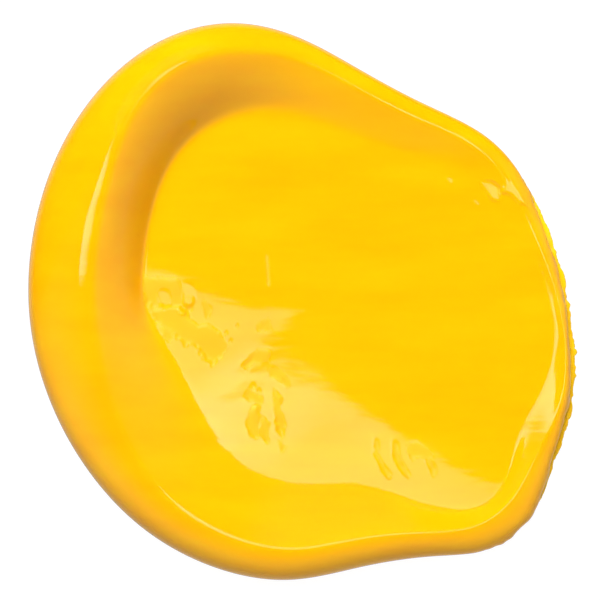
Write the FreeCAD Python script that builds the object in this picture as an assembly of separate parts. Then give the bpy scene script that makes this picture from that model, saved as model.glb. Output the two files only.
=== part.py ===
"""A dab of thick, glossy yellow paint, spread by one turn of a palette knife.

Two sub-parts, both resting on z = 0:
  paint_body   the raised bead round a shallow swept well, with a low lip at the right
  swept_film   the thin first smear under the well; its torn edge shows beyond the lip
"""

import math
import os

import FreeCAD
import Part

# ---- driving dimensions, millimetres --------------------------------------
SPAN = 50.0            # width of the dab that the table of stations describes
WELL = (1.5, -0.5)     # middle of the swept well
WELL_HEIGHT = 1.1      # paint left in the middle of the well
SIDE_BULGE = 0.04      # how far the bead's side overhangs its foot, in crest insets
FILM_THICKNESS = 0.2   # the first, scraped layer
FILM_REACH = 0.55      # how far the film shows beyond the lip
FILM_TUCK = 9.5        # how far the film's left edge lies inside the bead
TOOTH_PITCH = 0.62     # along the torn edge
TOOTH_DEPTH = 0.22     # of the torn edge
TORN_FROM, TORN_TO = 22.2, 28.1   # stations between which the film's edge is torn

# The bead, station by station, anticlockwise from the lip at the right:
# x, y of the foot on the ground; inset of the crest; height of the crest;
# inset of the well's rim; height of the well's rim; roll of the inner slope
# (0 = a wide soft fillet, 1 = a full roll with a crisp crease at its foot);
# how late the well's floor climbs to its rim (1 = evenly from the middle).
STATIONS = [
    (24.3, -4.2, 0.4, 1.85, 1.2, 1.62, 0.2, 2.0),
    (23.7, 1.5, 0.75, 1.56, 1.7, 1.40, 0.2, 2.0),
    (21.95, 6.7, 1.2, 1.36, 3.2, 1.27, 0.1, 2.0),
    (20.0, 11.5, 1.4, 1.36, 3.6, 1.20, 0.1, 2.0),
    (16.6, 15.5, 1.4, 1.58, 4.0, 1.15, 0.1, 2.0),
    (10.5, 18.0, 1.5, 1.90, 4.7, 1.12, 0.1, 2.0),
    (4.85, 21.15, 1.7, 2.35, 5.8, 1.10, 0.1, 2.0),
    (-0.5, 24.3, 2.0, 2.90, 7.2, 1.10, 0.1, 2.0),
    (-6.55, 25.75, 2.8, 3.90, 8.3, 1.10, 0.3, 2.0),
    (-12.95, 24.2, 2.6, 5.15, 8.8, 1.10, 0.7, 2.0),
    (-18.55, 19.85, 3.6, 5.45, 9.1, 1.10, 1.0, 2.0),
    (-22.65, 13.5, 5.4, 5.60, 10.0, 1.10, 1.0, 2.0),
    (-24.85, 6.2, 5.8, 5.40, 10.4, 1.18, 1.0, 1.65),
    (-25.25, -1.5, 5.8, 5.10, 10.5, 1.55, 0.9, 1.65),
    (-23.45, -8.8, 5.3, 4.75, 11.5, 2.05, 0.5, 1.65),
    (-19.95, -15.35, 4.3, 4.45, 11.4, 2.36, 0.2, 1.7),
    (-14.9, -20.9, 3.3, 4.15, 10.2, 2.45, 0.0, 1.85),
    (-8.25, -24.5, 2.9, 3.95, 9.2, 2.45, 0.0, 2.0),
    (-1.2, -25.8, 2.6, 3.75, 8.4, 2.38, 0.0, 2.4),
    (5.25, -23.95, 2.5, 3.45, 7.0, 2.20, 0.0, 3.0),
    (11.6, -23.0, 2.3, 3.15, 4.9, 2.10, 0.0, 3.5),
    (17.25, -23.05, 2.7, 2.75, 4.2, 2.05, 0.0, 3.5),
    (21.2, -19.8, 2.7, 2.30, 3.7, 1.75, 0.0, 3.0),
    (22.6, -14.4, 1.5, 1.90, 4.2, 1.50, 0.1, 2.4),
    (24.4, -9.5, 0.65, 2.00, 3.0, 1.55, 0.2, 2.0),
]


def profile(station):
    """Control points (inset, height) of one station's section, from the foot to the well's middle."""
    x, y, crest, height, rim, floor, roll, late = station
    reach = math.hypot(WELL[0] - x, WELL[1] - y)
    inner, drop = rim - crest, height - floor

    def apron(inset):
        away = 1.0 - max(0.0, (inset - rim) / (reach - rim))
        return WELL_HEIGHT + (floor - WELL_HEIGHT) * away ** late

    top, shoulder = 1.06 * height, floor + drop * (0.74 + 0.06 * roll)
    side = [
        (0.0, 0.0),
        (-SIDE_BULGE * crest, 0.42 * height),
        (0.22 * crest, 0.87 * height),
        (crest, top),
    ]
    inner_slope = [
        (crest + inner * (0.12 + 0.03 * roll), top - (top - shoulder) * (0.34 - 0.06 * roll)),
        (crest + inner * (0.36 + 0.06 * roll), shoulder),
        (crest + inner * (0.70 + 0.06 * roll), floor + drop * (0.34 + 0.08 * roll)),
        (rim, floor - 0.02 * drop * roll),
    ]
    crease = rim + inner * (0.30 - 0.24 * roll)
    insets = [crease] + [rim + (reach - rim) * part for part in (0.25, 0.45, 0.65, 0.85)]
    well = [(inset, apron(inset)) for inset in insets] + [(reach, WELL_HEIGHT)]
    return side + inner_slope + well


def section(station):
    """The profile of one station, set in space on its line to the well's middle."""
    x, y = station[:2]
    reach = math.hypot(WELL[0] - x, WELL[1] - y)
    ux, uy = (WELL[0] - x) / reach, (WELL[1] - y) / reach
    return [FreeCAD.Vector(x + ux * s, y + uy * s, z) for s, z in profile(station)]


def skin():
    """The dab's whole upper surface: closed round the dab, one pole in the well."""
    poles = [section(station) for station in STATIONS]
    around, across = len(poles), len(poles[0])
    surface = Part.BSplineSurface()
    surface.buildFromPolesMultsKnots(
        poles,
        [1] * (around + 1), [4] + [1] * (across - 4) + [4],
        [float(i) for i in range(around + 1)], [float(i) for i in range(across - 2)],
        True, False, 3, 3,
    )
    return surface


def paint_mass():
    """The solid between the upper surface and the flat underside."""
    top = skin().toShape()
    rim = [e for e in top.Edges if e.BoundBox.ZMax < 1e-6 and e.Length > SPAN]
    underside = Part.Face(Part.Wire(rim)).reversed()
    return Part.Solid(Part.Shell([top, underside]))


def footprint(place, inset):
    """Point of the dab's foot at a station number, moved towards the well."""
    count = len(STATIONS)
    first, t = int(math.floor(place)), place - math.floor(place)
    blend = ((1 - t) ** 3, 3 * t ** 3 - 6 * t ** 2 + 4,
             -3 * t ** 3 + 3 * t ** 2 + 3 * t + 1, t ** 3)
    near = [STATIONS[(first - 1 + k) % count] for k in range(4)]
    x = sum(b * s[0] for b, s in zip(blend, near)) / 6.0
    y = sum(b * s[1] for b, s in zip(blend, near)) / 6.0
    reach = math.hypot(WELL[0] - x, WELL[1] - y)
    return FreeCAD.Vector(x + (WELL[0] - x) * inset / reach,
                          y + (WELL[1] - y) * inset / reach, 0.0)


def torn_edge():
    """Points of the film's torn edge, with uneven teeth."""
    length = sum(footprint(TORN_FROM + k, 0).distanceToPoint(footprint(TORN_FROM + k + 1, 0))
                 for k in range(int(TORN_TO - TORN_FROM) + 1))
    count = 2 * int(length / TOOTH_PITCH / 2)
    points = []
    for i in range(count + 1):
        along = i / float(count)
        swell = math.sin(math.pi * along) ** 0.5
        drift = 0.12 * math.sin(9.0 * along + 1.0) + 0.08 * math.sin(23.0 * along)
        tooth = TOOTH_DEPTH * (i % 2 - 0.5) * (0.65 + 0.35 * math.sin(2.7 * i))
        place = TORN_FROM + (TORN_TO - TORN_FROM) * (along + 0.18 / count * math.sin(5.1 * i))
        points.append(footprint(place, -swell * (FILM_REACH + drift + tooth)))
    return points


def tucked_edge():
    """Points of the film's smooth edge, hidden under the bead."""
    start, stop = TORN_TO, TORN_FROM + len(STATIONS)
    points = []
    for i in range(1, 16):
        along = i / 16.0
        tuck = FILM_TUCK * math.sin(math.pi * along) ** 0.6
        points.append(footprint(start + (stop - start) * along, tuck))
    return points


def film():
    """The thin first smear, from its torn edge to its tucked edge."""
    torn = torn_edge()
    hidden = Part.BSplineCurve()
    hidden.interpolate([torn[-1]] + tucked_edge() + [torn[0]])
    wire = Part.Wire(Part.makePolygon(torn).Edges + [hidden.toShape()])
    return Part.Face(wire).extrude(FreeCAD.Vector(0, 0, FILM_THICKNESS))


def centred(solids):
    """The solids moved together so that their box is centred on x and y."""
    box = Part.Compound(solids).optimalBoundingBox(False)
    move = FreeCAD.Vector(-box.Center.x, -box.Center.y, -box.ZMin)
    return [solid.translated(move) for solid in solids]


def main():
    swept_film = film()
    paint_body = paint_mass().cut(swept_film).Solids[0]
    paint_body, swept_film = centred([paint_body, swept_film])
    os.makedirs("parts", exist_ok=True)
    paint_body.exportStep("parts/paint_body.step")
    swept_film.exportStep("parts/swept_film.step")
    for name, shape in (("paint_body", paint_body), ("swept_film", swept_film)):
        box = shape.optimalBoundingBox(False)
        print(name, shape.isValid(), shape.ShapeType, len(shape.Solids), len(shape.Faces),
              round(shape.Volume, 1), [round(v, 3) for v in (box.XMin, box.YMin, box.ZMin,
                                                              box.XMax, box.YMax, box.ZMax)])


main()
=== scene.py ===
"""Looks of one dab of thick, glossy yellow paint, spread by one turn of a palette knife.

The surface of the dab is one spline skin through a ring of stations, as in the CAD model. Here it is
meshed finely, and the knife's marks are worked into it: level terraces and pits where the paint tore,
chatter grooves, tipped flakes, faint streaks, and a ragged, torn edge at the lip. Lengths are millimetres
until a mesh is made, and metres from there on.
"""
import math

import bpy
import numpy as np
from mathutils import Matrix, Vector


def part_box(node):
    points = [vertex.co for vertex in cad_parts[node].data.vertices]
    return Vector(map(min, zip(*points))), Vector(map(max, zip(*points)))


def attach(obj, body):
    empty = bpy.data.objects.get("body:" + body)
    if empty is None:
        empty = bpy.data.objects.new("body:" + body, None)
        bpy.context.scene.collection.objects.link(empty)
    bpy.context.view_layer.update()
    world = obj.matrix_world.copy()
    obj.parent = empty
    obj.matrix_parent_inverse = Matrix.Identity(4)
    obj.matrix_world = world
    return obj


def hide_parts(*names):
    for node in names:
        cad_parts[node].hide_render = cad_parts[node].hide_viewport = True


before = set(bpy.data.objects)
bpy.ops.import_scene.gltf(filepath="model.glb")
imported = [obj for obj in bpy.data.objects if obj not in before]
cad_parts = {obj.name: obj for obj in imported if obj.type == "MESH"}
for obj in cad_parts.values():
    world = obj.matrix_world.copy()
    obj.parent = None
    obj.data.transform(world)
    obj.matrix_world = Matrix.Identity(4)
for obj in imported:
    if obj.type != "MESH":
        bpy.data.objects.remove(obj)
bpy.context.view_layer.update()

MM = 0.001

# ---- the skin's stations, as in the CAD model -------------------------------
WELL = (1.5, -0.5)     # middle of the swept well
WELL_HEIGHT = 1.1      # paint left in the middle of the well
SIDE_BULGE = 0.04      # how far the bead's side overhangs its foot, in crest insets
FILM_THICKNESS = 0.2
FILM_REACH = 0.55      # how far the film shows beyond the lip
FILM_TUCK = 9.5        # how far the film's left edge lies inside the bead
TORN_FROM, TORN_TO = 22.2, 28.1   # stations between which the film's edge is torn
RAGGED_FROM = 20.6     # station from which the body's foot is ragged

# x, y of the foot; inset and height of the crest; inset and height of the well's rim; roll of the inner
# slope (0 = a soft fillet, 1 = a full roll); how late the well's floor climbs to its rim (1 = evenly)
STATIONS = np.array([
    (24.3, -4.2, 0.4, 1.85, 1.2, 1.62, 0.2, 2.0),
    (23.7, 1.5, 0.75, 1.56, 1.7, 1.40, 0.2, 2.0),
    (21.95, 6.7, 1.2, 1.36, 3.2, 1.27, 0.1, 2.0),
    (20.0, 11.5, 1.4, 1.36, 3.6, 1.20, 0.1, 2.0),
    (16.6, 15.5, 1.4, 1.58, 4.0, 1.15, 0.1, 2.0),
    (10.5, 18.0, 1.5, 1.90, 4.7, 1.12, 0.1, 2.0),
    (4.85, 21.15, 1.7, 2.35, 5.8, 1.10, 0.1, 2.0),
    (-0.5, 24.3, 2.0, 2.90, 7.2, 1.10, 0.1, 2.0),
    (-6.55, 25.75, 2.8, 3.90, 8.3, 1.10, 0.3, 2.0),
    (-12.95, 24.2, 2.6, 5.15, 8.8, 1.10, 0.7, 2.0),
    (-18.55, 19.85, 3.6, 5.45, 9.1, 1.10, 1.0, 2.0),
    (-22.65, 13.5, 5.4, 5.60, 10.0, 1.10, 1.0, 2.0),
    (-24.85, 6.2, 5.8, 5.40, 10.4, 1.18, 1.0, 1.65),
    (-25.25, -1.5, 5.8, 5.10, 10.5, 1.55, 0.9, 1.65),
    (-23.45, -8.8, 5.3, 4.75, 11.5, 2.05, 0.5, 1.65),
    (-19.95, -15.35, 4.3, 4.45, 11.4, 2.36, 0.2, 1.7),
    (-14.9, -20.9, 3.3, 4.15, 10.2, 2.45, 0.0, 1.85),
    (-8.25, -24.5, 2.9, 3.95, 9.2, 2.45, 0.0, 2.0),
    (-1.2, -25.8, 2.6, 3.75, 8.4, 2.38, 0.0, 2.4),
    (5.25, -23.95, 2.5, 3.45, 7.0, 2.20, 0.0, 3.0),
    (11.6, -23.0, 2.3, 3.15, 4.9, 2.10, 0.0, 3.5),
    (17.25, -23.05, 2.7, 2.75, 4.2, 2.05, 0.0, 3.5),
    (21.2, -19.8, 2.7, 2.30, 3.7, 1.75, 0.0, 3.0),
    (22.6, -14.4, 1.5, 1.90, 4.2, 1.50, 0.1, 2.4),
    (24.4, -9.5, 0.65, 2.00, 3.0, 1.55, 0.2, 2.0),
])

# ---- the mesh ---------------------------------------------------------------
BLOCK = 200            # cells along one side of the square block inside the well
AROUND = 4 * BLOCK     # cells round the bead
BEAD_ROWS = 56         # cells from the foot of the bead to the block
BLOCK_STARTS = 6.6     # knot across the skin where the block begins
FINE = 240             # samples used to even out the rows
SHARP_ANGLE = math.radians(60.0)   # edges sharper than this, such as the foot's, shade as corners
FOOT_WIDTH = 0.3       # least width of the ground contact round the film's recess
FOOT_PULL = 0.10       # how far the ragged foot is pulled in on average
STRETCH_FADE = 0.5     # stations over which the ragged stretch fades at each end
# Knots over which the marks set in: up from the foot for the bead's, and down to the floor for the well's
TOP_KNOTS, WELL_KNOTS = (0.6, 2.2), (4.6, 6.2)


def station_net():
    """Control points of the skin, station by station, from the foot to the well's middle."""
    x, y, crest, height, rim, floor, roll, late = STATIONS.T
    zero = np.zeros(len(x))
    to_well = np.stack([WELL[0] - x, WELL[1] - y], 1)
    reach = np.linalg.norm(to_well, axis=1)
    to_well /= reach[:, None]
    inner, drop = rim - crest, height - floor

    def apron(inset):
        away = 1.0 - np.clip((inset - rim) / (reach - rim), 0.0, 1.0)
        return WELL_HEIGHT + (floor - WELL_HEIGHT) * away ** late

    crease = rim + inner * (0.30 - 0.24 * roll)
    top, shoulder = 1.06 * height, floor + drop * (0.74 + 0.06 * roll)
    points = [
        (zero, zero),
        (-SIDE_BULGE * crest, 0.42 * height),
        (0.22 * crest, 0.87 * height),
        (crest, top),
        (crest + inner * (0.12 + 0.03 * roll), top - (top - shoulder) * (0.34 - 0.06 * roll)),
        (crest + inner * (0.36 + 0.06 * roll), shoulder),
        (crest + inner * (0.70 + 0.06 * roll), floor + drop * (0.34 + 0.08 * roll)),
        (rim, floor - 0.02 * drop * roll),
        (crease, apron(crease)),
    ]
    for part in (0.25, 0.45, 0.65, 0.85):
        inset = rim + (reach - rim) * part
        points.append((inset, apron(inset)))
    points.append((reach, zero + WELL_HEIGHT))
    rows = [np.column_stack([x + to_well[:, 0] * s, y + to_well[:, 1] * s, z]) for s, z in points]
    return np.stack(rows, 1)


def around_weights(places):
    """Uniform periodic cubic weights of every station at the given station numbers."""
    count = len(STATIONS)
    first = np.floor(places).astype(int)
    t = places - first
    four = ((1 - t) ** 3, 3 * t ** 3 - 6 * t ** 2 + 4, -3 * t ** 3 + 3 * t ** 2 + 3 * t + 1, t ** 3)
    weights = np.zeros((len(places), count))
    for k, weight in enumerate(four):
        weights[np.arange(len(places)), (first - 1 + k) % count] += weight / 6.0
    return weights


def across_weights(count, knots):
    """Clamped cubic weights of every control row at the given knots (0 to count - 3)."""
    vector = np.concatenate([np.zeros(3), np.arange(count - 2), np.full(3, count - 3)]).astype(float)
    at = np.clip(knots, 0.0, count - 3 - 1e-9)[:, None]
    weights = ((vector[:-1] <= at) & (at < vector[1:])).astype(float)
    for degree in (1, 2, 3):
        left, right = vector[:-1 - degree], vector[1 + degree:]
        rise = np.where(vector[degree:-1] > left, vector[degree:-1] - left, 1.0)
        fall = np.where(right > vector[1:-degree], right - vector[1:-degree], 1.0)
        weights = (weights[:, :-1] * (at - left) / rise * (vector[degree:-1] > left)
                   + weights[:, 1:] * (right - at) / fall * (right > vector[1:-degree]))
    return weights


def skin(net, places, knots):
    """Points of the skin at paired station numbers and knots."""
    by_row = np.einsum("pk,krc->prc", around_weights(places), net)
    return np.einsum("pr,prc->pc", across_weights(net.shape[1], knots), by_row)


def even_knots(net, start, stop, count):
    """Knots between start and stop whose rows are evenly spaced on average."""
    knots = np.linspace(start, stop, FINE)
    stations = np.arange(len(STATIONS), dtype=float)
    lines = np.stack([skin(net, stations, np.full(len(stations), k)) for k in knots])
    steps = np.linalg.norm(np.diff(lines, axis=0), axis=2).mean(1)
    length = np.concatenate([[0.0], np.cumsum(steps)])
    return np.interp(np.linspace(0.0, length[-1], count + 1), length, knots)


# ---- noise and marks ----------------------------------------------------------
def lattice_noise(x, y, seed):
    """Smooth seeded noise of about -1 to 1, one lump per unit."""
    size = 64
    table = np.random.default_rng(seed).uniform(-1.0, 1.0, (size, size))
    ix, iy = np.floor(x).astype(int), np.floor(y).astype(int)
    tx, ty = x - ix, y - iy
    tx, ty = (t ** 3 * (t * (6 * t - 15) + 10) for t in (tx, ty))

    def pick(i, j):
        return table[(iy + j) % size, (ix + i) % size]

    low = pick(0, 0) * (1 - tx) + pick(1, 0) * tx
    high = pick(0, 1) * (1 - tx) + pick(1, 1) * tx
    return low * (1 - ty) + high * ty


def soft_step(value, low, high):
    """0 below low, 1 above high, smooth between."""
    t = np.clip((value - low) / (high - low), 0.0, 1.0)
    return t * t * (3 - 2 * t)


def inside(x, y, corners, soft, margin=0.0):
    """1 inside a polygon grown by margin, 0 outside, smooth over the width soft."""
    corners = np.array(corners)
    nearest = np.full(x.shape, np.inf)
    crossings = np.zeros(x.shape, bool)
    for (ax, ay), (bx, by) in zip(corners, np.roll(corners, -1, axis=0)):
        dx, dy = bx - ax, by - ay
        t = np.clip(((x - ax) * dx + (y - ay) * dy) / (dx * dx + dy * dy), 0.0, 1.0)
        nearest = np.minimum(nearest, np.hypot(x - ax - t * dx, y - ay - t * dy))
        spans = (ay > y) != (by > y)
        crossings ^= spans & (x < ax + (y - ay) * dx / (dy if dy else 1.0))
    return soft_step(np.where(crossings, nearest, -nearest) + margin, -soft / 2, soft / 2)


# Level terraces where the paint tore under the knife: outlines in the frame, millimetres
TERRACES = [
    [(-14.1, -0.4), (-12.9, -0.9), (-11.3, -0.2), (-10.7, -1.2), (-9.6, -2.3), (-8.5, -2.2), (-7.6, -2.8),
     (-6.8, -4.1), (-7.4, -4.9), (-8.2, -5.6), (-8.8, -5.1), (-9.2, -4.3), (-9.8, -3.9), (-10.6, -3.7),
     (-11.1, -3.4), (-11.6, -2.9), (-12.4, -2.3), (-13.3, -1.5)],
    [(-14.4, 2.2), (-11.2, 2.0), (-10.9, -0.1), (-11.4, -0.6), (-12.8, -0.4), (-14.3, -0.2)],
    [(-12.8, -2.4), (-12.3, -2.6), (-11.9, -3.3), (-12.0, -3.7), (-12.5, -3.2)],
    [(-9.1, 0.2), (-8.6, -0.2), (-8.4, -0.9), (-8.7, -1.5), (-9.1, -0.6)],
    [(-3.2, -1.4), (-3.0, -2.6), (-3.9, -2.7), (-4.2, -2.4)],
    [(-5.4, -5.8), (-4.8, -5.2), (-4.1, -4.4), (-3.0, -4.5), (-3.1, -5.4), (-4.3, -5.5), (-5.1, -5.9)],
    [(-3.1, -6.1), (-2.4, -6.1), (-1.4, -7.0), (-1.4, -7.7), (-2.2, -7.0), (-2.9, -6.7)],
    [(-5.4, -8.6), (-5.0, -7.9), (-4.5, -8.4), (-3.6, -8.7), (-3.8, -9.2), (-4.4, -8.9), (-5.0, -8.9)],
    [(-4.7, -10.4), (-4.5, -9.4), (-4.1, -9.5), (-4.0, -10.5), (-4.2, -11.4), (-4.1, -12.2), (-4.4, -12.4),
     (-4.8, -11.9), (-5.1, -11.3), (-5.1, -10.6)],
    [(-3.7, -10.5), (-3.0, -11.3), (-3.3, -11.9), (-3.2, -12.9), (-3.7, -12.2)],
    [(-2.6, -8.0), (-2.0, -8.8), (-2.1, -9.8), (-1.7, -11.0), (-1.8, -12.2), (-2.3, -11.6), (-2.5, -9.6)],
    [(-2.2, -12.6), (-1.5, -13.3), (-1.9, -13.6)],
    [(9.4, -13.1), (10.2, -12.7), (11.1, -13.3), (11.9, -14.0), (11.3, -14.3), (10.4, -13.9), (9.8, -14.3)],
]
# Pits: middle and half-width of the small tears along the terraces' lower edges
PITS = [
    (-13.3, -1.7, 0.16), (-11.4, -3.2, 0.14), (-10.6, -3.9, 0.18), (-9.7, -3.8, 0.12), (-9.3, -4.6, 0.16),
    (-9.0, -5.1, 0.14), (-8.2, -5.7, 0.16), (-10.3, -0.7, 0.20), (-7.0, -2.9, 0.14), (-6.6, -3.6, 0.13),
    (-4.5, -7.7, 0.15), (-4.0, -8.1, 0.11), (-5.1, -6.1, 0.12), (-1.8, -7.2, 0.13), (-6.0, -2.2, 0.12),
]
# Chatter: short grooves left by the knife's edge, from, to, half-width
GROOVES = [
    ((6.7, -12.7), (6.7, -13.3), 0.16), ((6.6, -13.8), (7.4, -15.2), 0.16),
    ((7.4, -15.2), (7.8, -15.7), 0.22), ((8.4, -13.0), (8.5, -14.1), 0.20),
    ((8.5, -14.1), (8.9, -14.9), 0.22), ((8.9, -14.9), (9.5, -15.7), 0.20),
    ((11.4, -14.5), (11.8, -15.2), 0.20), ((11.8, -15.2), (11.8, -15.7), 0.16),
    ((-3.3, 4.2), (-3.1, 1.6), 0.10),
]
# Flakes: thin skins tipped towards the back, from, to, half-width, slope
FLAKES = [
    ((-12.6, 0.6), (-12.5, -0.1), 0.75, 0.10), ((-10.3, 1.1), (-10.4, 0.1), 0.62, 0.09),
    ((-11.0, -0.6), (-10.9, -1.0), 0.35, 0.11), ((15.6, 9.1), (15.8, 8.9), 0.34, 0.08),
]
# Larger flakes near the upper right edge, laid in as tipped planes: outline and slope
TIPPED_SKINS = [
    ([(15.8, 11.0), (17.2, 10.9), (17.9, 10.3), (17.8, 9.1), (17.1, 9.2), (16.5, 10.1)], 0.064),
    ([(17.9, 12.0), (18.6, 11.2), (19.7, 10.0), (20.4, 8.7), (19.6, 8.9), (18.9, 9.7), (18.0, 9.9),
      (18.4, 10.7)], 0.064),
    ([(12.8, 11.4), (13.6, 11.4), (13.8, 10.8), (13.2, 10.5)], 0.064),
]
TIPPED = (0.42, 0.91)  # direction towards which the flakes slope down
TERRACE_SINK, TERRACE_STEP = 0.02, 0.16
TERRACE_SOFT, FLAKE_SOFT = 0.16, 0.35   # width over which their edges fade
TORN_SOFT, TORN_MARGIN = 0.2, 0.12      # the same for the torn look, and how far it reaches past a terrace
PIT_DEPTH, GROOVE_DEPTH = 0.45, 0.35   # in half-widths
TORN_GAIN = 1.5        # from the depth of a pit or groove to its torn look, which is held at 1
SWEEP = (0.98, 0.2)    # direction of the knife's sweep


def from_line(x, y, start, end):
    """Distance from the line between two points."""
    dx, dy = end[0] - start[0], end[1] - start[1]
    t = np.clip(((x - start[0]) * dx + (y - start[1]) * dy) / (dx * dx + dy * dy), 0.0, 1.0)
    return np.hypot(x - start[0] - t * dx, y - start[1] - t * dy)


def terraces(x, y, height):
    """The height with level terraces cut in, and how torn the surface is, 0 to 1."""
    torn = np.zeros(x.shape)
    ragged_x = x + 0.13 * lattice_noise(x * 3.1, y * 3.1, 40) + 0.06 * lattice_noise(x * 7.0, y * 7.0, 41)
    ragged_y = y + 0.13 * lattice_noise(x * 3.1, y * 3.1, 42) + 0.06 * lattice_noise(x * 7.0, y * 7.0, 43)
    for corners in TERRACES:
        middle = np.mean(corners, axis=0)
        level = height[np.argmin(np.hypot(x - middle[0], y - middle[1]))] - TERRACE_SINK
        mask = inside(ragged_x, ragged_y, corners, TERRACE_SOFT)
        height = height + mask * np.clip(level - height, -TERRACE_STEP, TERRACE_STEP)
        torn = np.maximum(torn, inside(ragged_x, ragged_y, corners, TORN_SOFT, TORN_MARGIN))
    return height, torn


def small_marks(x, y, torn):
    """Height added by the pits, the grooves and the flakes, and how torn they leave the surface."""
    total = np.zeros(x.shape)
    for px, py, half in PITS:
        dent = np.exp(-((x - px) ** 2 + (y - py) ** 2) / half ** 2)
        total -= PIT_DEPTH * half * dent
        torn = np.maximum(torn, np.clip(TORN_GAIN * dent, 0.0, 1.0))
    for start, end, half in GROOVES:
        dent = np.exp(-(from_line(x, y, start, end) / half) ** 2)
        total -= GROOVE_DEPTH * half * dent
        torn = np.maximum(torn, np.clip(TORN_GAIN * dent, 0.0, 1.0))
    for start, end, half, slope in FLAKES:
        mask = 1.0 - soft_step(from_line(x, y, start, end), 0.6 * half, 1.1 * half)
        away = (x - start[0]) * TIPPED[0] + (y - start[1]) * TIPPED[1]
        total -= slope * away * mask
        torn = torn * (1.0 - mask)
    return total, torn


def tipped_skins(x, y, height):
    """The height with the larger flakes laid in."""
    for outline, slope in TIPPED_SKINS:
        middle = np.mean(outline, axis=0)
        level = height[np.argmin(np.hypot(x - middle[0], y - middle[1]))]
        away = (x - middle[0]) * TIPPED[0] + (y - middle[1]) * TIPPED[1]
        height = height + inside(x, y, outline, FLAKE_SOFT) * (level - slope * away - height)
    return height


def drag_relief(x, y):
    """Very shallow streaks along the sweep, and slow swells across the floor."""
    along, across = SWEEP[0] * x + SWEEP[1] * y, -SWEEP[1] * x + SWEEP[0] * y
    drawn = lattice_noise(along / 9.0, across / 1.3, 11) * 0.006
    swells = lattice_noise(x / 5.0, y / 4.0, 12) * 0.020 + lattice_noise(x / 2.1, y / 2.1, 13) * 0.004
    return drawn + swells


def bead_relief(x, y):
    """Slow unevenness of the bead."""
    return lattice_noise(x / 6.0 + 3.0, y / 6.0, 21) * 0.05 + lattice_noise(x / 2.6, y / 2.6, 22) * 0.008


# ---- mesh helpers ---------------------------------------------------------------
def make_object(name, points, faces, attributes=None):
    """A smooth mesh object with corners at its sharp edges, from points in millimetres."""
    mesh = bpy.data.meshes.new(name)
    mesh.from_pydata((np.asarray(points) * MM).tolist(), [], faces)
    mesh.validate()
    for attribute, values in (attributes or {}).items():
        layer = mesh.attributes.new(attribute, "FLOAT", "POINT")
        layer.data.foreach_set("value", np.asarray(values, np.float32))
    mesh.shade_smooth()
    mesh.set_sharp_from_angle(angle=SHARP_ANGLE)
    piece = bpy.data.objects.new(name, mesh)
    bpy.context.scene.collection.objects.link(piece)
    return piece


def ring_faces(first, rows, count):
    """Quads between consecutive closed rows of count points."""
    faces = []
    for row in range(rows):
        low, high = first + row * count, first + (row + 1) * count
        for i in range(count):
            j = (i + 1) % count
            faces.append((low + i, low + j, high + j, high + i))
    return faces


def block_perimeter():
    """Row and column of each block point on the border, anticlockwise."""
    n = BLOCK
    side = range(n)
    return ([(i, n) for i in side] + [(n, n - i) for i in side]
            + [(n - i, 0) for i in side] + [(0, i) for i in side])


def block_layout():
    """Cells round the border and relative radius of every point of the square block."""
    n = BLOCK
    rows, cols = np.meshgrid(np.arange(n + 1), np.arange(n + 1), indexing="ij")
    a, b = 2.0 * rows / n - 1.0, 2.0 * cols / n - 1.0
    radius = np.maximum(abs(a), abs(b))
    safe = np.where(radius > 0, radius, 1.0)
    sa, sb = a / safe, b / safe
    turn = np.where(sb >= 1.0, (1 + sa) / 2,
                    np.where(sa >= 1.0, 1 + (1 - sb) / 2,
                             np.where(sb <= -1.0, 2 + (1 - sa) / 2, 3 + (1 + sb) / 2)))
    return turn * n, radius


def on_stretch(places, first):
    """1 from the station first to the end of the torn stretch, 0 elsewhere, smooth at both ends."""
    turned = (places - first) % len(STATIONS)
    width = TORN_TO - first
    return soft_step(turned, 0.0, STRETCH_FADE) * (1.0 - soft_step(turned, width - STRETCH_FADE, width))


def film_cover(places):
    """1 where the body sits on the film at its foot, 0 where it stands on the ground."""
    return on_stretch(places, TORN_FROM)


def aligned(points, node):
    """Points moved so that their box lies on the CAD node's box."""
    low, high = (np.array(corner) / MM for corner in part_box(node))
    mine_low, mine_high = points.min(0), points.max(0)
    scale = (high - low) / (mine_high - mine_low)
    return (points - mine_low) * scale + low


def upper_surface():
    """Points of the bead and the well, with their station numbers and knots.

    The bead comes first, row by row from its foot, and then the square block that fills the well.
    """
    net = station_net()
    last_knot = net.shape[1] - 3.0
    per_cell = len(STATIONS) / AROUND
    bead_knots = even_knots(net, 0.0, BLOCK_STARTS, BEAD_ROWS)[:-1]
    block_knots = even_knots(net, BLOCK_STARTS, last_knot, FINE)
    turn, radius = block_layout()
    inward = np.interp(1.0 - radius.ravel(), np.linspace(0, 1, FINE + 1), block_knots)
    places = np.concatenate([np.tile(np.arange(AROUND) * per_cell, BEAD_ROWS), (turn * per_cell).ravel()])
    knots = np.concatenate([np.repeat(bead_knots, AROUND), inward])
    return aligned(skin(net, places, knots), "paint_body"), places, knots


def knife_marks(points, knots):
    """The points with the knife's marks worked in, and how torn the surface is at each."""
    x, y = points[:, 0].copy(), points[:, 1].copy()
    on_top = soft_step(knots, *TOP_KNOTS)
    in_well = soft_step(knots, *WELL_KNOTS)
    cut, torn = terraces(x, y, points[:, 2])
    marks, torn = small_marks(x, y, torn)
    points[:, 2] += in_well * (cut - points[:, 2] + drag_relief(x, y)) + on_top * marks
    points[:, 2] += on_top * (1 - in_well) * bead_relief(x, y)
    points[:, 2] = tipped_skins(x, y, points[:, 2])
    return points, torn * in_well


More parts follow.
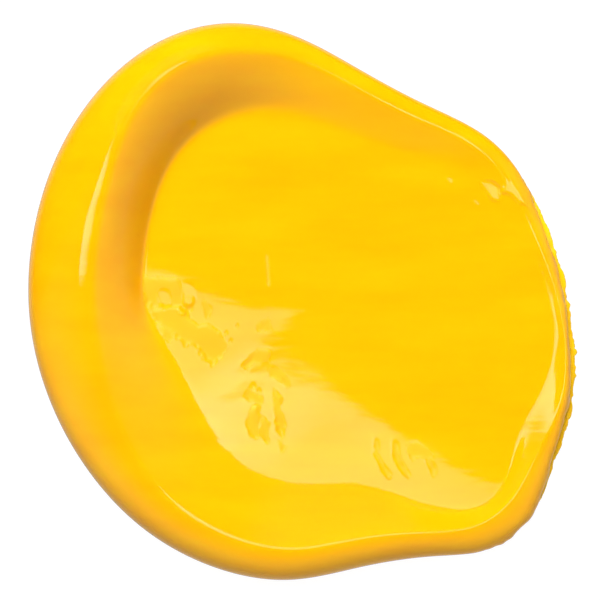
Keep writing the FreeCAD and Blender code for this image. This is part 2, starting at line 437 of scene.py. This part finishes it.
def ragged_foot(points, places, knots):
    """The points with the body's edge roughened at the right, where it rests on the film."""
    edge = (1.0 - soft_step(knots, 0.0, 2.0)) * on_stretch(places, RAGGED_FROM)
    shake = (0.10 * lattice_noise(places * 3.0, knots * 0.8, 31)
             + 0.06 * lattice_noise(places * 9.0, knots, 32))
    away = points[:, :2] - np.array([WELL])
    away /= np.linalg.norm(away, axis=1)[:, None] + 1e-9
    points[:, :2] += away * ((shake - FOOT_PULL) * edge)[:, None]
    points[:, 2] = np.maximum(points[:, 2], FILM_THICKNESS * film_cover(places))
    return points


def upper_faces():
    """Quads of the bead's rows, of the seam to the block, and of the block."""
    n = BLOCK
    first = BEAD_ROWS * AROUND

    def number(i, j):
        return first + i * (n + 1) + j

    faces = ring_faces(0, BEAD_ROWS - 1, AROUND)
    last_row = (BEAD_ROWS - 1) * AROUND
    cells = block_perimeter()
    for k in range(AROUND):
        following = (k + 1) % AROUND
        faces.append((last_row + k, last_row + following, number(*cells[following]), number(*cells[k])))
    for i in range(n):
        for j in range(n):
            faces.append((number(i, j), number(i, j + 1), number(i + 1, j + 1), number(i + 1, j)))
    return faces


def underside(foot, base):
    """Points and faces under the body, numbered from base: a ring on the ground, then the film's recess."""
    to_well = np.array([WELL]) - foot[:, :2]
    to_well /= np.linalg.norm(to_well, axis=1)[:, None]
    places = np.arange(AROUND) * len(STATIONS) / AROUND
    cover, tuck = film_cover(places), film_tuck(places)
    rows = []
    for inset, lift in ((FOOT_WIDTH, 0.0), (tuck - 0.1, 0.0), (tuck + 0.1, 1.0), (tuck + 1.0, 1.0)):
        inset = np.broadcast_to(np.maximum(inset, FOOT_WIDTH), AROUND)[:, None]
        z = FILM_THICKNESS * np.maximum(cover, lift)
        rows.append(np.column_stack([foot[:, :2] + to_well * inset, z]))
    starts = [0] + [base + row * AROUND for row in range(len(rows))]
    faces = []
    for low, high in zip(starts, starts[1:]):
        for k in range(AROUND):
            following = (k + 1) % AROUND
            faces.append((low + following, low + k, high + k, high + following))
    faces.append(tuple(starts[-1] + k for k in reversed(range(AROUND))))
    return np.concatenate(rows), faces


def paint_body():
    """The bead, the well and the underside, as one closed mesh."""
    points, places, knots = upper_surface()
    points, torn = knife_marks(points, knots)
    points = ragged_foot(points, places, knots)
    under, under_faces = underside(points[:AROUND], len(points))
    torn = np.concatenate([torn, np.zeros(len(under))])
    points = np.concatenate([points, under])
    return make_object("paint_body_skin", points, upper_faces() + under_faces, {"torn": torn})


# ---- the film -----------------------------------------------------------------
FILM_POINTS = 1600
# Inset from the film's outline and height of each row, over the rounded edge and onto the flat top
FILM_ROWS = [
    (0.02, 0.0), (-0.02, 0.05), (0.0, 0.12), (0.06, 0.17), (0.16, 0.19), (0.5, 0.195), (2.0, 0.195),
]
# Teeth of the torn edge: size, waves per station, seed
FILM_TEETH = [(0.12, 3.3, 51), (0.08, 9.0, 52), (0.05, 23.0, 53)]
# Barbs of the torn edge: station number and size
FILM_BARBS = [(24.95, 0.25), (24.55, 0.22), (0.7, 0.15), (23.2, 0.12), (1.9, 0.12)]
BARB_WIDTH = 0.05      # in stations


def film_tuck(places):
    """How far inside the body's foot the film's edge lies."""
    count = len(STATIONS)
    turned = (places - TORN_TO) % count
    hidden = count - (TORN_TO - TORN_FROM)
    along = np.clip(turned / hidden, 0.0, 1.0)
    return FILM_TUCK * np.sin(math.pi * along) ** 0.6


def film_reach(places):
    """How far the torn edge stands out beyond the body's foot."""
    turned = (places - TORN_FROM) % len(STATIONS)
    along = np.clip(turned / (TORN_TO - TORN_FROM), 0.0, 1.0)
    swell = np.sin(math.pi * along) ** 0.5
    teeth = sum(size * lattice_noise(places * waves, 0 * places, seed) for size, waves, seed in FILM_TEETH)
    barbs = sum(size * np.exp(-((places % len(STATIONS) - at) / BARB_WIDTH) ** 2) for at, size in FILM_BARBS)
    return swell * (FILM_REACH + teeth) + barbs * swell


def swept_film():
    """The thin first smear: a slab with a torn, rounded edge at the right."""
    net = station_net()
    count = len(STATIONS)
    places = np.arange(FILM_POINTS) * count / FILM_POINTS
    foot = skin(net, places, np.zeros(FILM_POINTS))[:, :2]
    to_well = np.array([WELL]) - foot
    to_well /= np.linalg.norm(to_well, axis=1)[:, None]
    torn = (places - TORN_FROM) % count < TORN_TO - TORN_FROM
    edge = np.where(torn, -film_reach(places), film_tuck(places))
    rows = []
    for number, (inset, z) in enumerate(FILM_ROWS):
        flat = foot + to_well * (edge + inset)[:, None]
        lump = lattice_noise(places * 7.0, np.full(FILM_POINTS, number * 0.7), 61)
        rows.append(np.column_stack([flat, z * (0.9 + 0.1 * lump)]))
    points = np.concatenate(rows)
    faces = ring_faces(0, len(rows) - 1, FILM_POINTS)
    top = (len(rows) - 1) * FILM_POINTS
    faces.append(tuple(top + k for k in range(FILM_POINTS)))
    faces.append(tuple(reversed(range(FILM_POINTS))))
    points = aligned(points, "swept_film")
    return make_object("swept_film_skin", points, faces)


# ---- materials --------------------------------------------------------------------
# Warm, plain and light colour of each paint, and where they lie in the streaky noise
THICK_COLOURS = [(0.965, 0.430, 0.0006), (0.97, 0.46, 0.0006), (0.975, 0.485, 0.0012)]
# The thin paint's colours are lighter than the thick paint's as painted light: they make up for the shade
# the lip casts on the film
THIN_COLOURS_WITH_PAINTED_LIGHT = [(0.975, 0.56, 0.001), (0.98, 0.60, 0.001), (0.985, 0.64, 0.003)]
COLOUR_STOPS = (0.30, 0.52, 0.72)
THICK_ROUGHNESS, THIN_ROUGHNESS, TORN_ROUGHNESS = 0.055, 0.16, 0.4
# Streaky noise: waves per metre across the sweep, how far it is drawn out along it, detail
COLOUR_STREAKS = (420.0, 5.0, 4.0)
GLOSS_STREAKS = (900.0, 3.0, 3.0)
RIPPLE_STREAKS = (1300.0, 4.0, 2.0)
STREAK_TURN = 0.2      # angle between the streaks and X, radians
RIPPLE_STRENGTH, RIPPLE_HEIGHT = 0.12, 0.00006


class Nodes:
    """Short calls for building the node tree of a material or a world."""

    def __init__(self, owner):
        self.owner = owner
        owner.use_nodes = True
        self.tree = owner.node_tree

    def named(self, name):
        return self.tree.nodes[name]

    def add(self, kind, **settings):
        node = self.tree.nodes.new(kind)
        for key, value in settings.items():
            setattr(node, key, value)
        return node

    def link(self, source, target):
        self.tree.links.new(source, target)

    def map_range(self, source, start=0.0, stop=1.0, low=0.0, high=1.0):
        """The source rescaled from start..stop to low..high, and held at the ends."""
        node = self.add("ShaderNodeMapRange")
        for socket, value in (("From Min", start), ("From Max", stop), ("To Min", low), ("To Max", high)):
            node.inputs[socket].default_value = value
        self.link(source, node.inputs["Value"])
        return node

    def join(self, operation, first, second):
        """Two values joined by a mathematical operation."""
        node = self.add("ShaderNodeMath", operation=operation)
        self.link(first, node.inputs[0])
        self.link(second, node.inputs[1])
        return node.outputs["Value"]

    def ramp(self, source, stops):
        """A colour ramp through (position, colour) stops."""
        node = self.add("ShaderNodeValToRGB")
        elements = node.color_ramp.elements
        while len(elements) < len(stops):
            elements.new(0.5)
        for element, (position, colour) in zip(elements, stops):
            element.position = position
            element.color = (*colour, 1.0)
        self.link(source, node.inputs["Fac"])
        return node.outputs["Color"]


def streaks(nodes, scale, stretch, detail):
    """Noise drawn out along the sweep, in object coordinates."""
    place = nodes.add("ShaderNodeTexCoord")
    turn = nodes.add("ShaderNodeMapping")
    turn.inputs["Rotation"].default_value = (0.0, 0.0, STREAK_TURN)
    turn.inputs["Scale"].default_value = (scale / stretch, scale, scale)
    noise = nodes.add("ShaderNodeTexNoise")
    noise.inputs["Scale"].default_value = 1.0
    noise.inputs["Detail"].default_value = detail
    nodes.link(place.outputs["Object"], turn.inputs["Vector"])
    nodes.link(turn.outputs["Vector"], noise.inputs["Vector"])
    return noise.outputs["Fac"]


def paint_material(name, colours, roughness):
    """Wet, heavy paint: streaky colour, uneven gloss that is duller where torn, a fine skin of ripples."""
    nodes = Nodes(bpy.data.materials.new(name))
    shader = nodes.named("Principled BSDF")
    colour = nodes.ramp(streaks(nodes, *COLOUR_STREAKS), list(zip(COLOUR_STOPS, colours)))
    nodes.link(colour, shader.inputs["Base Color"])

    shine = nodes.map_range(streaks(nodes, *GLOSS_STREAKS), low=roughness * 0.8, high=roughness * 1.35)
    torn = nodes.add("ShaderNodeAttribute", attribute_name="torn")
    dull = nodes.map_range(torn.outputs["Fac"], high=TORN_ROUGHNESS)
    nodes.link(shine.outputs["Result"], dull.inputs["To Min"])
    nodes.link(dull.outputs["Result"], shader.inputs["Roughness"])

    ripple = nodes.add("ShaderNodeBump")
    ripple.inputs["Strength"].default_value = RIPPLE_STRENGTH
    ripple.inputs["Distance"].default_value = RIPPLE_HEIGHT
    nodes.link(streaks(nodes, *RIPPLE_STREAKS), ripple.inputs["Height"])
    nodes.link(ripple.outputs["Normal"], shader.inputs["Normal"])

    shader.inputs["IOR"].default_value = 1.5
    shader.inputs["Subsurface Weight"].default_value = 0.12
    shader.inputs["Subsurface Radius"].default_value = (1.0, 0.45, 0.05)
    shader.inputs["Subsurface Scale"].default_value = 0.0006
    return nodes.owner


def thick_paint():
    return paint_material("thick_paint_gloss", THICK_COLOURS, THICK_ROUGHNESS)


def thin_paint():
    # Its lighter colours are painted light, making up for the lip's shade on the film
    return paint_material("thin_paint_gloss", THIN_COLOURS_WITH_PAINTED_LIGHT, THIN_ROUGHNESS)


# ---- studio, in metres and degrees ------------------------------------------------
FLOOR_HALF = 4.0
FLOOR_DROP = 0.02      # millimetres below the dab, so that no faces coincide
FLOOR_COLOUR, FLOOR_GLOW = 0.10, 0.96
BACKDROP_SIDES, BACKDROP_RADIUS, BACKDROP_HEIGHT = 48, 2.2, 1.0
CAMERA_HEIGHT = 0.5
SENSOR_WIDTH = 36.0    # millimetres
PICTURE_WIDTH = 54.55  # millimetres that the picture spans
PICTURE_CENTRE = (-0.27, 0.14)   # millimetres
LIGHT_DISTANCE, LIGHT_SIZE = 1.0, 0.9
# Soft lights: name, azimuth, elevation, watts
SOFT_LIGHTS = [("key", 106.0, 52.0, 17.8), ("fill", 303.0, 60.0, 3.1)]
SOFTBOX_DISTANCE = 1.0
SOFTBOX_COLUMNS = 24
SOFTBOX_INNER = 0.66   # brightness just past the fade at the edge nearest overhead
# Softboxes: name, azimuth of the middle, spread, nearest and farthest angle from overhead, strength,
# width of the fade at the near edge, brightness of the anticlockwise end
SOFTBOXES = [
    ("softbox_north", 68.0, 96.0, 6.4, 19.0, 4.9, 0.12, 0.5),
    ("softbox_west", 168.5, 43.0, 9.0, 23.0, 4.4, 0.3, 1.0),
]
SKY_PALE, SKY_DARK = 0.5, 0.02
SKY_DARK_SIDE = 112.0  # azimuth of the dark back wall
SKY_BACK = 0.03        # how much of the sky's light is left at the back wall
# Heights on the unit sphere between which the sky darkens, and below which the back is pale again
SKY_DARKENS, SKY_PALE_BELOW = (0.55, 0.95), (-0.45, -0.8)


def on_dome(azimuth, elevation, distance):
    """Point at an azimuth (0 = +X, 90 = +Y) and elevation, in degrees, round the dab."""
    a, e = math.radians(azimuth), math.radians(elevation)
    return Vector((math.cos(e) * math.cos(a), math.cos(e) * math.sin(a), math.sin(e))) * distance


def grey(value):
    return (value, value, value)


def place_mesh(name, points, faces, material):
    """A new object of the studio in the scene, with its mesh and its material."""
    mesh = bpy.data.meshes.new(name)
    mesh.from_pydata(points, [], faces)
    mesh.materials.append(material)
    made = bpy.data.objects.new(name, mesh)
    bpy.context.scene.collection.objects.link(made)
    return made


def glow_material(name, strength):
    """A material that only glows, white. Returns its nodes and its emission node."""
    nodes = Nodes(bpy.data.materials.new(name))
    glow = nodes.add("ShaderNodeEmission")
    glow.inputs["Color"].default_value = (*grey(1.0), 1.0)
    glow.inputs["Strength"].default_value = strength
    nodes.link(glow.outputs["Emission"], nodes.named("Material Output").inputs["Surface"])
    return nodes, glow


def studio_floor():
    """A plain white floor that glows a little, so that shadows stay faint."""
    nodes = Nodes(bpy.data.materials.new("studio_floor"))
    shader = nodes.named("Principled BSDF")
    shader.inputs["Base Color"].default_value = (*grey(FLOOR_COLOUR), 1.0)
    shader.inputs["Emission Color"].default_value = (*grey(1.0), 1.0)
    shader.inputs["Emission Strength"].default_value = FLOOR_GLOW
    shader.inputs["Roughness"].default_value = 0.9
    shader.inputs["Specular IOR Level"].default_value = 0.0
    half, z = FLOOR_HALF, -FLOOR_DROP * MM
    corners = [(-half, -half, z), (half, -half, z), (half, half, z), (-half, half, z)]
    floor = place_mesh("studio_floor", corners, [(0, 1, 2, 3)], nodes.owner)
    floor.visible_glossy = False


def backdrop():
    """A pale wall all round that only the camera sees, so that low views have no dark horizon."""
    points, faces = [], []
    for i in range(BACKDROP_SIDES):
        foot = on_dome(360.0 * i / BACKDROP_SIDES, 0.0, BACKDROP_RADIUS)
        points += [(foot.x, foot.y, 0.0), (foot.x, foot.y, BACKDROP_HEIGHT)]
        low, following = 2 * i, 2 * ((i + 1) % BACKDROP_SIDES)
        faces.append((low, following, following + 1, low + 1))
    nodes, _ = glow_material("backdrop", 1.0)
    wall = place_mesh("backdrop", points, faces, nodes.owner)
    wall.visible_diffuse = False
    wall.visible_glossy = False
    wall.visible_transmission = False
    wall.visible_shadow = False


def sky():
    """The sky that mirrors in the paint.

    It is dark overhead and towards the back, pale low down at the front and sides, and pale far below the
    horizon, where a steep side mirrors the ground.
    """
    world = bpy.data.worlds.new("studio")
    bpy.context.scene.world = world
    nodes = Nodes(world)
    place = nodes.add("ShaderNodeTexCoord")
    split = nodes.add("ShaderNodeSeparateXYZ")
    nodes.link(place.outputs["Generated"], split.inputs["Vector"])
    height = nodes.map_range(split.outputs["Z"], *SKY_DARKENS, SKY_PALE, SKY_DARK)

    towards = nodes.add("ShaderNodeVectorMath", operation="DOT_PRODUCT")
    towards.inputs[1].default_value = on_dome(SKY_DARK_SIDE, 0.0, 1.0)
    nodes.link(place.outputs["Generated"], towards.inputs[0])
    side = nodes.map_range(towards.outputs["Value"], -0.05, 0.35, 1.0, SKY_BACK)
    below = nodes.map_range(split.outputs["Z"], *SKY_PALE_BELOW)

    pale = nodes.join("MAXIMUM", side.outputs["Result"], below.outputs["Result"])
    both = nodes.join("MULTIPLY", height.outputs["Result"], pale)
    background = nodes.named("Background")
    background.inputs["Color"].default_value = (*grey(1.0), 1.0)
    nodes.link(both, background.inputs["Strength"])
    world.cycles_visibility.diffuse = False


def soft_light(name, azimuth, elevation, power):
    """A broad soft light that shades the paint but doesn't mirror in it."""
    lamp = bpy.data.lights.new(name, "AREA")
    lamp.shape = "DISK"
    lamp.size = LIGHT_SIZE
    lamp.energy = power
    light = bpy.data.objects.new(name, lamp)
    light.location = on_dome(azimuth, elevation, LIGHT_DISTANCE)
    light.rotation_euler = (-light.location).to_track_quat("-Z", "Y").to_euler()
    light.visible_glossy = False
    bpy.context.scene.collection.objects.link(light)


def softbox(name, azimuth, spread, near, far, strength, fade, dim):
    """A glowing strip of the dome that mirrors in the paint.

    It fades at both ends and towards overhead, and falls to dim at its anticlockwise end.
    """
    points, faces, places = [], [], []
    for i in range(SOFTBOX_COLUMNS + 1):
        along = i / SOFTBOX_COLUMNS
        for zenith in (near, far):
            points.append(on_dome(azimuth + spread * (along - 0.5), 90.0 - zenith, SOFTBOX_DISTANCE))
            places.append((along, float(zenith == far)))
    for i in range(SOFTBOX_COLUMNS):
        faces.append((2 * i, 2 * i + 2, 2 * i + 3, 2 * i + 1))

    nodes, glow = glow_material(name, strength)
    panel = place_mesh(name, points, faces, nodes.owner)
    layer = panel.data.uv_layers.new(name="glow")
    for loop in panel.data.loops:
        layer.data[loop.index].uv = places[loop.vertex_index]
    place = nodes.add("ShaderNodeTexCoord")
    split = nodes.add("ShaderNodeSeparateXYZ")
    nodes.link(place.outputs["UV"], split.inputs["Vector"])
    outward = nodes.ramp(split.outputs["Y"], [
        (0.0, grey(0.0)), (fade, grey(SOFTBOX_INNER)), (1.0, grey(1.0))])
    sideways = nodes.ramp(split.outputs["X"], [
        (0.0, grey(0.0)), (0.15, grey(1.0)), (0.4, grey(dim)), (0.85, grey(dim)), (1.0, grey(0.0))])
    product = nodes.add("ShaderNodeVectorMath", operation="MULTIPLY")
    nodes.link(outward, product.inputs[0])
    nodes.link(sideways, product.inputs[1])
    nodes.link(product.outputs["Vector"], glow.inputs["Color"])
    panel.visible_camera = False
    panel.visible_diffuse = False


def camera():
    """Straight above the dab, far enough for an almost flat view."""
    data = bpy.data.cameras.new("overhead")
    data.sensor_width = SENSOR_WIDTH
    data.lens = SENSOR_WIDTH * CAMERA_HEIGHT / (PICTURE_WIDTH * MM)
    data.clip_start = 0.01
    view = bpy.data.objects.new("overhead", data)
    view.location = (PICTURE_CENTRE[0] * MM, PICTURE_CENTRE[1] * MM, CAMERA_HEIGHT)
    bpy.context.scene.collection.objects.link(view)
    bpy.context.scene.camera = view


def build():
    body = paint_body()
    body.data.materials.append(thick_paint())
    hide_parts("paint_body")
    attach(body, "root")

    film = swept_film()
    film.data.materials.append(thin_paint())
    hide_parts("swept_film")
    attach(film, "root")

    studio_floor()
    backdrop()
    sky()
    for light in SOFT_LIGHTS:
        soft_light(*light)
    for strip in SOFTBOXES:
        softbox(*strip)
    camera()
    bpy.context.scene.view_settings.view_transform = "Standard"


build()
